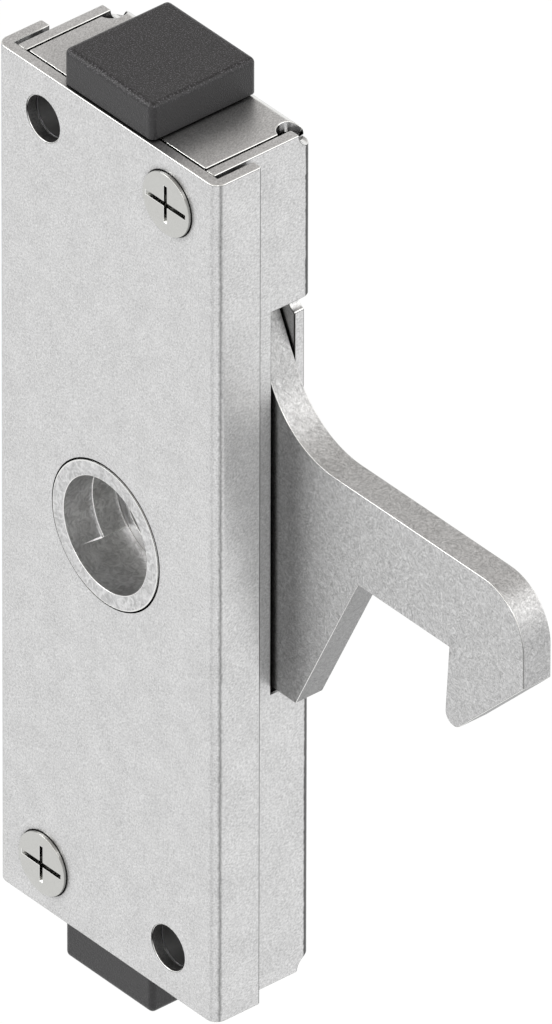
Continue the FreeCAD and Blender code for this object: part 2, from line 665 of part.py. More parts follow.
def make_axle():
    turned_piece("pivot_stud", [
        ("0", DISC_FRONT),
        ("stud_head_radius", DISC_FRONT),
        ("stud_head_radius", f"{DISC_FRONT} + stud_head_thickness"),
        ("stud_radius", f"{DISC_FRONT} + stud_head_thickness"),
        ("stud_radius", HOOK_BACK),
        ("journal_radius", HOOK_BACK),
        ("journal_radius", "case_depth - journal_gap"),
        ("0", "case_depth - journal_gap"),
    ])
    tube_piece("rear_bush", "journal_radius + journal_clearance", "bush_radius",
               BACK_PLATE, "case_depth")


def make_groups():
    """Equal fasteners, one node for each kind."""
    under_head = f"{HOOK_FRONT} - hub_screw_head_height"
    screw = [
        ("0", f"{HOOK_FRONT} - hub_screw_length"),
        ("hub_screw_radius", f"{HOOK_FRONT} - hub_screw_length"),
        ("hub_screw_radius", under_head),
        ("hub_screw_head_radius", under_head),
        ("hub_screw_head_radius", HOOK_FRONT),
        ("0", HOOK_FRONT),
    ]
    pin_front = f"{DISC_FRONT} + drive_pin_cover"
    pin_back = f"{HOOK_BACK} - drive_pin_cover"
    pin = [
        ("0", pin_front),
        ("drive_pin_radius", pin_front),
        ("drive_pin_radius", pin_back),
        ("0", pin_back),
    ]
    for name, profile, places in (
        ("hub_screws", screw, HUB_SCREW_PLACES),
        ("drive_pins", pin, DRIVE_PIN_PLACES),
    ):
        members = []
        for number, (x, z) in enumerate(places, 1):
            body = new_body(f"{name}_{number}", x, z)
            turn(body, profile)
            members.append(body)
        group = doc.addObject("Part::Compound", name)
        group.Label = name
        group.Links = members
        finish(group)


def make_hook():
    body = new_body("hook")
    claw_tip = ("claw_tip_reach", "(lead_in_top - hook_reach + claw_tip_reach)")
    outer_corner = ("hook_reach", "arm_top")
    root = ("root_x", "arm_top")
    crest = [("crest_x", "crest_top"), ("(crest_x - crest_width)", "crest_top")]
    plate = new_sketch(body, "XZ_Plane", HOOK_FRONT)
    add_outline(plate, [
        ("heel_x", "heel_z"),
        ("foot_start", "-foot_drop"),
        ("foot_reach", "-foot_drop"),
        ("throat_start", "throat_top"),
        ("claw_start", "throat_top"),
        claw_tip,
        ("hook_reach", "lead_in_top"),
        outer_corner,
        root,
        *crest,
        ("back_x", "back_z"),
    ])
    extrude(body, "Pad", plate, "XZ_Plane", "hook_thickness")
    dress_edges(body, "Fillet", "claw_tip_radius", Y, [claw_tip])
    dress_edges(body, "Fillet", "arm_corner_radius", Y, [outer_corner])
    dress_edges(body, "Fillet", "root_radius", Y, [root])
    dress_edges(body, "Fillet", "crest_radius", Y, crest)
    boss = new_sketch(body, "XZ_Plane", HOOK_FRONT)
    add_circle(boss, "0", "0", "hook_boss_radius")
    extrude(body, "Pad", boss, "XZ_Plane", "hook_thickness")
    holes = [
        ("0", "0", "stud_radius + seat_clearance"),
        (CRANK_X, CRANK_Z, "crank_pin_radius + seat_clearance"),
    ]
    holes += [(x, z, "drive_pin_radius + seat_clearance") for x, z in DRIVE_PIN_PLACES]
    drill(body, HOOK_FRONT, "hook_thickness", holes)
    finish(body)


def clipped_profile(front, radius, groove_radius):
    """The front end of a pin, with the groove for its clip."""
    groove = f"({front} + clip_inset)"
    groove_end = f"({groove} + clip_thickness + clip_play)"
    return [
        ("0", front),
        (f"{radius} - pin_chamfer", front),
        (radius, f"{front} + pin_chamfer"),
        (radius, groove),
        (groove_radius, groove),
        (groove_radius, groove_end),
        (radius, groove_end),
    ]


def make_clip(name, front, radius, groove_radius, x, z):
    """An open ring that snaps into the groove of a pin."""
    start = f"({front} + clip_inset + clip_play / 2)"
    body = new_body(name, x, z)
    ring = new_sketch(body, "XZ_Plane", start)
    add_circle(ring, "0", "0", f"{radius} + clip_width")
    add_circle(ring, "0", "0", f"{groove_radius} + thread_clearance")
    extrude(body, "Pad", ring, "XZ_Plane", "clip_thickness")
    mouth = new_sketch(body, "XZ_Plane", start)
    half = f"{groove_radius} * 0.7"
    add_rectangle(mouth, f"-{half}", f"-({radius} + 2 * clip_width)", half, "0")
    extrude(body, "Pocket", mouth, "XZ_Plane", "clip_thickness")
    finish(body)


def make_pins():
    groove = "(crank_pin_radius - groove_depth)"
    turned_piece("crank_pin", clipped_profile("crank_pin_front", "crank_pin_radius", groove) + [
        ("crank_pin_radius", HOOK_BACK),
        ("0", HOOK_BACK),
    ], CRANK_X, CRANK_Z)
    make_clip("crank_pin_clip", "crank_pin_front", "crank_pin_radius", groove, CRANK_X, CRANK_Z)
    groove = "(post_radius - groove_depth)"
    turned_piece("spring_post", clipped_profile("post_front", "post_radius", groove) + [
        ("post_radius", GUIDE_FRONT),
        ("post_rivet_radius", GUIDE_FRONT),
        ("post_rivet_radius", GUIDE_BACK),
        ("0", GUIDE_BACK),
    ], "0", POST_HEIGHT)
    make_clip("spring_post_clip", "post_front", "post_radius", groove, "0", POST_HEIGHT)
    turned_piece("closed_stop_post", [
        ("0", GUIDE_FRONT),
        ("stop_rivet_radius", GUIDE_FRONT),
        ("stop_rivet_radius", GUIDE_BACK),
        ("stop_post_radius", GUIDE_BACK),
        ("stop_post_radius", BACK_PLATE),
        ("stop_rivet_radius", BACK_PLATE),
        ("stop_rivet_radius", "case_depth"),
        ("0", "case_depth"),
    ], RIGHT, STOP_Z)
    tube_piece("closed_stop_buffer", "stop_post_radius + seat_clearance", "buffer_radius",
               f"{GUIDE_BACK} + stop_gap", f"{BACK_PLATE} - stop_gap", RIGHT, STOP_Z)


def leg_of_spring(centre, target, reach, side):
    """A straight leg that leaves the coil at a tangent and bears on a round target.

    Returns the angle at which it leaves the coil, that point and the leg's end.
    """
    coil = value("coil_radius")
    across = target - centre
    spread = math.acos((coil - reach) / across.Length)
    angle = math.atan2(across.y, across.x) + side * spread
    normal = FreeCAD.Vector(math.cos(angle), math.sin(angle), 0)
    start = centre + normal * coil
    touch = target + normal * reach
    way = (touch - start).normalize()
    return angle, start, touch + way * value("leg_overrun")


def make_return_spring():
    """One wire: a leg under the upper left spacer, the coil, and a leg beside the crank pin.

    It is drawn looking at the front, with the third coordinate towards the viewer.
    """
    wire, coil = value(WIRE_RADIUS), value("coil_radius")
    pitch = 2 * wire + value("turn_gap")
    centre = FreeCAD.Vector(0, value(POST_HEIGHT), 0)
    spacer = FreeCAD.Vector(value(LEFT), value(UPPER), 0)
    crank = FreeCAD.Vector(value(CRANK_X), value(CRANK_Z), 0)
    spacer_reach = value(f"tube_radius + leg_gap + {WIRE_RADIUS}")
    crank_reach = value(f"crank_pin_radius + leg_gap + {WIRE_RADIUS}")
    first, first_start, first_end = leg_of_spring(centre, spacer, spacer_reach, 1)
    last, last_start, last_end = leg_of_spring(centre, crank, crank_reach, -1)
    turn_angle = (last - first) % (2 * math.pi)
    turns = turn_angle / (2 * math.pi) + value("coil_turns") - 1
    height = turns * pitch
    helix = Part.makeHelix(pitch, height, coil)
    helix.rotate(FreeCAD.Vector(), FreeCAD.Vector(0, 0, 1), math.degrees(first))
    helix.translate(centre)
    climb = FreeCAD.Vector(-math.sin(first), math.cos(first), pitch / (2 * math.pi * coil))
    section = Part.Wire(Part.makeCircle(wire, first_start, climb))
    pieces = [Part.Wire(helix.Edges).makePipeShell([section], True, True)]
    lift = FreeCAD.Vector(0, 0, height)
    for start, end in ((first_start, first_end), (last_start + lift, last_end + lift)):
        leg = end - start
        pieces.append(Part.makeCylinder(wire, leg.Length, start, leg))
        pieces.append(Part.makeSphere(wire, start))
    spring = pieces[0].fuse(pieces[1:]).removeSplitter()
    rear = value(f"{GUIDE_FRONT} - spring_back_gap") - wire
    spring.translate(FreeCAD.Vector(0, 0, -rear))
    spring.rotate(FreeCAD.Vector(), FreeCAD.Vector(1, 0, 0), 90)
    feature = doc.addObject("Part::Feature", "return_spring")
    feature.Label = "return_spring"
    feature.Shape = spring
    finish(feature)


def make_end_block(name, turned_over):
    body = new_body(name)
    half = "block_width / 2"
    back = "(block_front + block_depth)"
    base = f"({END} + block_foot_height)"
    block = new_sketch(body, "XY_Plane", base)
    add_rectangle(block, f"-{half}", "block_front", half, back)
    extrude(body, "Pad", block, "XY_Plane", "block_height")
    corners = [(f"{side}{half}", y) for side in ("-", "") for y in ("block_front", back)]
    dress_edges(body, "Fillet", "block_rounding", Z, corners)
    top = max(range(len(body.Tip.Shape.Faces)), key=lambda n: body.Tip.Shape.Faces[n].CenterOfMass.z)
    rounding = body.newObject("PartDesign::Fillet", name + "_rounding")
    rounding.Base = (rounding.BaseFeature, [f"Face{top + 1}"])
    rounding.setExpression("Radius", expression("block_rounding"))
    doc.recompute()
    foot = new_sketch(body, "XY_Plane", END)
    inset = "block_foot_inset"
    add_rectangle(foot, f"-({half} - {inset})", f"block_front + {inset} + sheet_thickness",
                  f"{half} - {inset}", f"{back} - {inset}")
    extrude(body, "Pad", foot, "XY_Plane", "block_foot_height")
    hole = new_sketch(body, "XY_Plane", END)
    add_circle(hole, "0", BLOCK_MIDDLE, "block_screw_radius + thread_clearance")
    depth = "block_screw_length - sheet_thickness - washer_thickness + hole_clearance"
    extrude(body, "Pocket", hole, "XY_Plane", depth)
    turn_over(body, turned_over)
    finish(body)


def turn_over(piece, turned_over):
    """The lower end is the upper end turned half way round about Y."""
    if turned_over:
        piece.Placement.Rotation = FreeCAD.Rotation(FreeCAD.Vector(0, 1, 0), 180)


def cylinder(name, radius, height, low):
    """A cylinder along Z on the axis of the block screws."""
    shape = doc.addObject("Part::Cylinder", name)
    shape.setExpression("Radius", expression(radius))
    shape.setExpression("Height", expression(height))
    shape.setExpression("Placement.Base.y", expression(BLOCK_MIDDLE))
    shape.setExpression("Placement.Base.z", expression(low))
    return shape


def make_block_fixing(end, turned_over):
    """The screw and washer that hold an end block from inside the case."""
    seat = f"({FLAP_INSIDE} - washer_thickness)"
    head_low = f"({seat} - block_screw_head_height)"
    shank = cylinder(f"{end}_shank", "block_screw_radius", "block_screw_length", seat)
    head = cylinder(f"{end}_head", "block_screw_head_radius", "block_screw_head_height", head_low)
    whole = doc.addObject("Part::Fuse", f"{end}_screw_blank")
    whole.Base, whole.Tool = head, shank
    socket = doc.addObject("Part::Prism", f"{end}_socket")
    socket.Polygon = 6
    socket.setExpression("Circumradius", expression("block_screw_radius * 0.7"))
    socket.setExpression("Height", expression("block_screw_head_height * 0.6"))
    socket.setExpression("Placement.Base.y", expression(BLOCK_MIDDLE))
    socket.setExpression("Placement.Base.z", expression(head_low))
    screw = doc.addObject("Part::Cut", f"end_block_screw_{end}")
    screw.Base, screw.Tool = whole, socket
    disc = cylinder(f"{end}_washer_blank", "washer_radius", "washer_thickness", seat)
    hole = cylinder(f"{end}_washer_hole", "block_screw_radius + loose_clearance",
                    "washer_thickness", seat)
    washer = doc.addObject("Part::Cut", f"end_block_washer_{end}")
    washer.Base, washer.Tool = disc, hole
    for piece in (screw, washer):
        piece.Label = piece.Name
        turn_over(piece, turned_over)
        finish(piece)


def check_and_write():
    doc.recompute()
    for item in doc.Objects:
        if "Invalid" in item.State or "Error" in item.State:
            raise RuntimeError(f"{item.Label} failed: {item.State}")
    for piece in subparts:
        if piece.Shape.isNull() or not piece.Shape.isValid() or not piece.Shape.Solids:
            raise RuntimeError(f"{piece.Label} has no valid solid")
    os.makedirs("parts", exist_ok=True)
    for piece in subparts:
        piece.Shape.exportStep(f"parts/{piece.Label}.step")
    print(len(subparts), "sub-parts written")


make_front_cover()
make_back_case()
make_guide_plate()
make_sleeves_and_spacers()
make_cover_screws()
make_drive_hub()
make_drive_disc()
make_axle()
make_groups()
make_hook()
make_pins()
make_return_spring()
for end, turned_over in (("top", False), ("bottom", True)):
    make_end_block(f"end_block_{end}", turned_over)
    make_block_fixing(end, turned_over)
check_and_write()
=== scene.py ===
import json
import math

import bmesh
import bpy
from mathutils import Matrix, Vector

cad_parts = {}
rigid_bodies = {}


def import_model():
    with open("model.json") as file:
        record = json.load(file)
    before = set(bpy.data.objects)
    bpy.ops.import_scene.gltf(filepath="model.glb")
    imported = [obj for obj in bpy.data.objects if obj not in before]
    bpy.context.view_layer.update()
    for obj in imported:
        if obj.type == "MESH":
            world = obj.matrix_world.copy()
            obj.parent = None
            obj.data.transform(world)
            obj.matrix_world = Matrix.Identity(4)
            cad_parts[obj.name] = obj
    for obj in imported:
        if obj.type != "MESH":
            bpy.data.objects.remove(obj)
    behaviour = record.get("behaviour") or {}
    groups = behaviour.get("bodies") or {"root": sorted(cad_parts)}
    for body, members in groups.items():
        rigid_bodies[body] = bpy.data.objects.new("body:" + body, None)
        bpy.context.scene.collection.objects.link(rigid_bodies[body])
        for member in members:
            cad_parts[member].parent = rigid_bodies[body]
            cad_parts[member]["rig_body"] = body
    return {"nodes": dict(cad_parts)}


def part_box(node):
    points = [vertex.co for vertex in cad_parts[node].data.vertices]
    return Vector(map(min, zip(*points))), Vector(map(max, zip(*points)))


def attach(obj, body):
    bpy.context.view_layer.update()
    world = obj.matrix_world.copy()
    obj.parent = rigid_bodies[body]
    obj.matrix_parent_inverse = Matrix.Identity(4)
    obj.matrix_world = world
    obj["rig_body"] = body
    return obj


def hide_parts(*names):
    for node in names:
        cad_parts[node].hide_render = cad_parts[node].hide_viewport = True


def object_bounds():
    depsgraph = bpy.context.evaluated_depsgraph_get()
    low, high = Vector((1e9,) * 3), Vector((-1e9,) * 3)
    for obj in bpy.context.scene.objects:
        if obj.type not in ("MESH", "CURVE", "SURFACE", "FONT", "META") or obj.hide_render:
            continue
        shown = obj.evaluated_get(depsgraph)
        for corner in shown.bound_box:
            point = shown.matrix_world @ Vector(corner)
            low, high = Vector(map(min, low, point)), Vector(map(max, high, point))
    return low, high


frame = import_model()
cad_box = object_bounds()

bl_info = {
    "name": "Hook latch",
    "version": (1, 0, 0),
    "blender": (4, 5, 0),
    "location": "View3D > Sidebar > Hook latch",
    "description": "Dresses the hook latch: broken sheet edges, cross-recessed screws and "
                   "the finish of every part",
    "category": "Object",
}

MM = 0.001

SHEET_PIECES = ("front_cover", "back_case", "guide_plate")
COVER_SCREWS = ("cover_screw_upper", "cover_screw_lower")
END_BLOCKS = ("end_block_top", "end_block_bottom")
ZINC_FASTENERS = ("hub_screws", "end_block_screw_top", "end_block_screw_bottom",
                  "end_block_washer_top", "end_block_washer_bottom")
MOUNTING_SLEEVES = ("mounting_sleeve_upper", "mounting_sleeve_lower")
FRONT_SPACERS = ("front_spacer_upper_left", "front_spacer_upper_right", "front_spacer_lower_left",
                 "front_spacer_lower_right")
TURNED_PIECES = ("pivot_stud", "drive_pins", "crank_pin", "spring_post", "closed_stop_post",
                 "threaded_spacer_upper", "threaded_spacer_lower")
SPRING_PIECES = ("return_spring", "crank_pin_clip", "spring_post_clip")

# Points closer than this are one point, and faces that turn less than this are one flat face.
SAME_POINT = 0.0002 * MM
FLAT_TURN = math.radians(0.6)
# Faces that turn more than this meet in an edge. In a cut screw it takes a little more.
EDGE_TURN = math.radians(35)
SCREW_EDGE_TURN = math.radians(40)
EDGE_SEGMENTS = 2
CORNER_SPREAD = 0.05 * MM
SCREW_SIDES = 96

# How far a bend has turned, from -1 at the front to 1 at the back, and how bright its painted dark
# reflection leaves it there.
BEND_REFLECTION_TONES = ((-0.98, 1.0), (-0.91, 0.84), (-0.8, 1.0), (-0.62, 1.0), (-0.43, 0.42), (-0.24, 1.0),
              (0.15, 1.0), (0.27, 0.1), (0.6, 0.1), (0.75, 1.0))
BEND_REFLECTION_WAVER = 0.1

# The floor reaches this far to each side, in metres. What is seen of it is mostly a plain white,
# a little stronger than 1 to make up for the rest, which keeps the shadow.
FLOOR_REACH = 6.0
WHITE_STRENGTH = 1.02
WHITE_SHARE = 0.93
# The studio is white up to the first height, and fully its ceiling's grey from the second on.
WALLS_END = 0.1
CEILING_START = 0.5
CEILING_GREY = (0.66, 0.64, 0.62, 1)
# Each soft box: its direction from the latch, its width and height in metres, its power in watts.
SOFT_BOXES = {
    "front_box": ((-0.2, -0.85, 0.5), 1.1, 0.35, 2.2),
    "left_box": ((-0.63, -0.57, 0.53), 0.45, 0.45, 1.5),
    "rear_box": ((0.6, 0.53, 0.58), 0.8, 0.6, 1.9),
    "bore_box": ((0.57, -0.53, 0.63), 0.3, 0.3, 0.8),
}
BOX_DISTANCE = 0.9


def linear(code):
    """Turns an sRGB hex colour into linear red, green and blue."""
    parts = (int(code[i:i + 2], 16) / 255 for i in (0, 2, 4))
    return tuple(c / 12.92 if c <= 0.04045 else ((c + 0.055) / 1.055) ** 2.4 for c in parts)


def length(name, description, millimetres):
    """A size that a user can change."""
    return bpy.props.FloatProperty(name=name, description=description, default=millimetres * MM,
                                   min=0, precision=5, unit="LENGTH")


def colour(name, description, code):
    """A colour that a user can change."""
    return bpy.props.FloatVectorProperty(name=name, description=description, default=linear(code),
                                         size=3, min=0, max=1, subtype="COLOR")


class LatchSizes(bpy.types.PropertyGroup):
    """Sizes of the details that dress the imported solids."""
    sheet_edge: length("Sheet edge", "Broken edge of the folded sheets", 0.2)
    hub_edge: length("Hub edge", "Broken edge of hub, drive dog and disc", 0.14)
    hook_edge: length("Hook edge", "Broken edge of the hook plate", 0.14)
    sleeve_edge: length("Sleeve edge", "Broken edge of the mounting sleeves", 0.12)
    plain_radius: length("Plain radius", "Edges of the sheets nearer to the hub's axis stay sharp", 13.5)
    head_rim: length("Head rim", "Rounding on the rim of a cover screw's head", 0.14)
    long_recess: length("Long recess", "Long slot of the cross recess", 9.5)
    long_recess_width: length("Long recess width", "Width of the long slot", 0.85)
    short_recess: length("Short recess", "Short slot of the cross recess", 6.8)
    short_recess_width: length("Short recess width", "Width of the short slot", 0.75)
    recess_depth: length("Recess depth", "Depth of both slots", 1.1)
    recess_ramp: length("Recess ramp", "Length over which each end of a slot rises", 0.9)
    recess_edge: length("Recess edge", "Broken edge of the cross recess", 0.06)
    thread_radius: length("Thread radius", "Shank of a cover screw", 3.0)


class LatchColours(bpy.types.PropertyGroup):
    """Colours of the finishes."""
    zinc_light: colour("Zinc, light", "Light grains of the zinc on the sheets", "ECECEC")
    zinc_dark: colour("Zinc, dark", "Dark grains of the zinc on the sheets", "B6B6B6")
    hook_light: colour("Galvanising, light", "Light flakes on the hook", "E6E6E6")
    hook_dark: colour("Galvanising, dark", "Dark flakes on the hook", "A0A0A0")
    hub_light: colour("Hub, light", "Light clouds on the hub", "E4E4E4")
    hub_dark: colour("Hub, dark", "Dark clouds on the hub", "B4B4B4")
    # Painted light: plain white, lighter than the plating, stands in for the light that the disc lacks
    # deep in the bore.
    disc: colour("Disc", "Brighter plating of the drive disc", "FFFFFF")
    # Lighter colour of the broken edges: burnished wear and painted highlight.
    edge: colour("Broken edge", "Burnished metal along every broken edge", "F2F2F0")
    sleeve_edge: colour("Sleeve edge", "Worn edge of the blacked mounting sleeves", "5C5C5E")
    screw: colour("Screw", "Smooth plating of the screws", "CBCBC8")
    steel: colour("Turned steel", "Bare turned steel", "A8A8A6")
    # Painted light: the blacked steel gets a light grey, standing in for the light its deep bores lack.
    blacked: colour("Blacked steel", "Blacked tubes behind the fixing holes", "B8B8B8")
    spring: colour("Spring steel", "Oiled spring wire and clips", "5C5C5E")
    brass: colour("Brass", "Turned brass bush", "C9A55B")
    rubber: colour("Rubber", "Buffer under the hook's foot", "1C1C1C")
    plastic: colour("Plastic", "Moulded end blocks", "201F21")
    floor: colour("Floor", "Plain studio floor", "FFFFFF")


class LatchStage(bpy.types.PropertyGroup):
    """Camera and floor."""
    lens: bpy.props.FloatProperty(name="Lens", description="Long lens that keeps edges nearly parallel",
                                  default=910, unit="CAMERA")
    sensor: bpy.props.FloatProperty(name="Sensor height", default=21, unit="CAMERA",
                                    description="Sensor size along the picture's height")
    azimuth: bpy.props.FloatProperty(name="Azimuth", default=math.radians(49.809), subtype="ANGLE",
                                     description="Camera's turn to the right of the front")
    elevation: bpy.props.FloatProperty(name="Elevation", description="Camera's height above level",
                                       default=math.radians(34.725), subtype="ANGLE")
    roll: bpy.props.FloatProperty(name="Roll", description="Camera's turn about its own axis",
                                  default=math.radians(0.127), subtype="ANGLE")
    aim_right: length("Aim to the right", "Point aimed at, right of the hub", 26.308)
    aim_up: length("Aim upwards", "Point aimed at, above the hub in the picture", 3.602)
    distance: length("Distance", "Camera to the point aimed at", 6858.28)
    floor_drop: length("Floor drop", "Floor below the latch's lower end", 260)


def fill(tree, node, sockets):
    """Gives a node's inputs their values or links."""
    for name, value in sockets.items():
        if isinstance(value, bpy.types.NodeSocket):
            tree.links.new(value, node.inputs[name])
        else:
            node.inputs[name].default_value = value


def add(tree, kind, sockets=None, **settings):
    """Adds a node. Settings are its properties; sockets are values or links for its inputs."""
    node = tree.nodes.new("ShaderNode" + kind)
    for name, value in settings.items():
        setattr(node, name, value)
    fill(tree, node, sockets or {})
    return node


def start_material(name):
    """An empty material with its node tree and its shader."""
    material = bpy.data.materials.new(name)
    material.use_nodes = True
    return material, material.node_tree, material.node_tree.nodes["Principled BSDF"]


def grain(tree, size, detail=2.0, rough=0.5, twist=0.0, along=None, times=1.0):
    """A pattern on the surface whose grains are about that size, from 0 to 1 round 0.5.

    Where a direction is given, the grains are drawn out along it so many times.
    """
    place = add(tree, "TexCoord").outputs["Object"]
    if along:
        turn = Vector(along).to_track_quat("X", "Z").to_euler()
        place = add(tree, "Mapping", {"Vector": place, "Rotation": turn, "Scale": (times, 1, 1)},
                    vector_type="TEXTURE").outputs[0]
    return add(tree, "TexNoise", {"Vector": place, "Scale": 1 / size, "Detail": detail,
                                  "Roughness": rough, "Distortion": twist}).outputs["Fac"]


def laid_over(tree, first, second, share):
    """Two patterns in one, the first with that share and the second with the rest."""
    parts = [add(tree, "Math", {0: pattern, 1: part}, operation="MULTIPLY").outputs[0]
             for pattern, part in ((first, share), (second, 1 - share))]
    return add(tree, "Math", {0: parts[0], 1: parts[1]}, operation="ADD").outputs[0]


def tones(tree, pattern, low, high, dark, light):
    """A colour that is dark where a pattern is low, and light where it is high."""
    share = add(tree, "MapRange", {"Value": pattern, "From Min": low, "From Max": high}).outputs[0]
    return add(tree, "Mix", {"Factor": share, "A": (*dark, 1), "B": (*light, 1)},
               data_type="RGBA").outputs["Result"]


def closeness(tree, reach, darkest, lightest):
    """1 in the open, 0 deep in a gap: how much of the air within reach is free. Multiplied into a colour,
    it paints shade.
    """
    free = add(tree, "AmbientOcclusion", {"Distance": reach}, samples=2).outputs["AO"]
    return add(tree, "MapRange", {"Value": free, "From Min": darkest, "From Max": lightest},
               interpolation_type="SMOOTHSTEP").outputs[0]


def facing(tree, axis, low, high, share_low, share_high, both_ways=False):
    """A share that goes from one value to another as the surface turns to look along an axis.

    It looks fully along the axis at 1 and the opposite way at -1, which both_ways takes as 1 too.
    """
    normal = add(tree, "TexCoord").outputs["Normal"]
    looks = add(tree, "SeparateXYZ", {0: normal}).outputs[axis]
    if both_ways:
        looks = add(tree, "Math", {0: looks}, operation="ABSOLUTE").outputs[0]
    return add(tree, "MapRange", {"Value": looks, "From Min": low, "From Max": high,
                                  "To Min": share_low, "To Max": share_high}).outputs[0]


def shaded(tree, base, *shades):
    """A colour or a link, darkened by every shade, each a factor from 0 to 1."""
    if not isinstance(base, bpy.types.NodeSocket):
        base = (*base, 1)
    shade = shades[0]
    for other in shades[1:]:
        shade = add(tree, "Math", {0: shade, 1: other}, operation="MULTIPLY").outputs[0]
    grey = add(tree, "CombineColor", {"Red": shade, "Green": shade, "Blue": shade}).outputs[0]
    return add(tree, "Mix", {"Factor": 1.0, "A": base, "B": grey}, data_type="RGBA",
               blend_type="MULTIPLY").outputs["Result"]


def painted_bend_reflection(tree):
    """Painted dark reflections: darker lines along every upright bend and rolled edge.

    They are found by how far the surface has turned backwards, and waver a little.
    """
    normal = add(tree, "TexCoord").outputs["Normal"]
    backwards = add(tree, "SeparateXYZ", {0: normal}).outputs["Y"]
    waver = add(tree, "MapRange", {"Value": grain(tree, 0.8 * MM), "To Min": -BEND_REFLECTION_WAVER,
                                   "To Max": BEND_REFLECTION_WAVER}).outputs[0]
    turned = add(tree, "Math", {0: backwards, 1: waver}, operation="ADD").outputs[0]
    place = add(tree, "MapRange", {"Value": turned, "From Min": -1, "From Max": 1}).outputs[0]
    ramp = add(tree, "ValToRGB", {"Fac": place})
    stops = ramp.color_ramp.elements
    stops[0].position, stops[1].position = 0.0, 1.0
    stops[0].color = stops[1].color = (1, 1, 1, 1)
    for turn, tone in BEND_REFLECTION_TONES:
        stops.new((turn + 1) / 2).color = (tone, tone, tone, 1)
    # Only upright bends get the painted dark reflection, so a surface that looks up or down stays bright.
    level = facing(tree, "Z", 0.15, 0.4, 0.0, 1.0, both_ways=True)
    return add(tree, "Math", {0: ramp.outputs["Color"], 1: level}, operation="MAXIMUM").outputs[0]


def zinc_sheet_material(colours):
    """Electro-galvanised sheet, pressed: pale grey, with short slanting streaks and faint clouds.

    The eye reads it from the even, nearly matt light and from the fine rolled grain.
    """
    material, tree, shader = start_material("zinc_plated_sheet")
    # Real rolling marks are under 0.1 mm wide and would not show, so the streaks are drawn 0.25 mm
    # wide and 1.8 times as long. The clouds are about 5 mm across.
    streaks = grain(tree, 0.25 * MM, rough=0.6, along=(1, -2, -0.8), times=1.8)
    clouds = grain(tree, 5 * MM, detail=3.0)
    base = tones(tree, laid_over(tree, streaks, clouds, 0.84), 0.3, 0.7,
                 colours.zinc_dark, colours.zinc_light)
    # Painted shade near other parts is deepest on faces that look up, and lighter on upright faces.
    darkest = facing(tree, "Z", 0.3, 0.9, -0.6, 0.1)
    # The colour carries painted shade in gaps and near other parts, and painted dark reflections along
    # the bends.
    base = shaded(tree, base, closeness(tree, 1.2 * MM, 0.15, 0.85),
                  closeness(tree, 11 * MM, darkest, 0.75), painted_bend_reflection(tree))
    relief = add(tree, "Bump", {"Height": streaks, "Strength": 0.2, "Distance": 0.04 * MM})
    fill(tree, shader, {"Base Color": base, "Metallic": 1.0, "Roughness": 0.36,
                        "Normal": relief.outputs[0]})
    return material


def hook_material(colours):
    """Hot-dip galvanised plate: darker than the sheet, with curled flakes of zinc.

    The eye reads it from the uneven, duller light. Its undersides and end face get painted shade.
    """
    material, tree, shader = start_material("hot_dip_galvanised_plate")
    # The flakes are about 0.8 mm across and the curls 2.4 mm, as in a thin coat of zinc.
    flakes = grain(tree, 0.8 * MM, detail=3.0, rough=0.6, twist=3.0)
    curls = grain(tree, 2.4 * MM, twist=5.0)
    base = tones(tree, laid_over(tree, flakes, curls, 0.6), 0.33, 0.67,
                 colours.hook_dark, colours.hook_light)
    painted_underside_shade = facing(tree, "Z", -0.4, -0.2, 0.58, 1.0)
    painted_end_face_shade = facing(tree, "X", 0.75, 0.98, 1.0, 0.86)
    # Painted shade in gaps, on the undersides and on the end face.
    base = shaded(tree, base, closeness(tree, 1.2 * MM, 0.15, 0.85), painted_underside_shade, painted_end_face_shade)
    relief = add(tree, "Bump", {"Height": flakes, "Strength": 0.5, "Distance": 0.08 * MM})
    fill(tree, shader, {"Base Color": base, "Metallic": 1.0, "Roughness": 0.48,
                        "Normal": relief.outputs[0]})
    return material


def hub_material(name, dark, light, gap_tone):
    """Turned and zinc-plated steel: satin, with soft curled clouds about 1.3 mm across.

    Its narrow gaps get painted shade, which keeps the share of light that gap_tone gives.
    """
    material, tree, shader = start_material(name)
    clouds = grain(tree, 1.3 * MM, detail=3.0, rough=0.65, twist=1.5)
    base = tones(tree, clouds, 0.34, 0.66, dark, light)
    # Painted shade in narrow gaps.
    gaps = add(tree, "MapRange", {"Value": closeness(tree, 0.8 * MM, 0.2, 0.5), "To Min": gap_tone})
    base = shaded(tree, base, gaps.outputs[0])
    relief = add(tree, "Bump", {"Height": clouds, "Strength": 0.15, "Distance": 0.05 * MM})
    fill(tree, shader, {"Base Color": base, "Metallic": 1.0, "Roughness": 0.36,
                        "Normal": relief.outputs[0]})
    return material


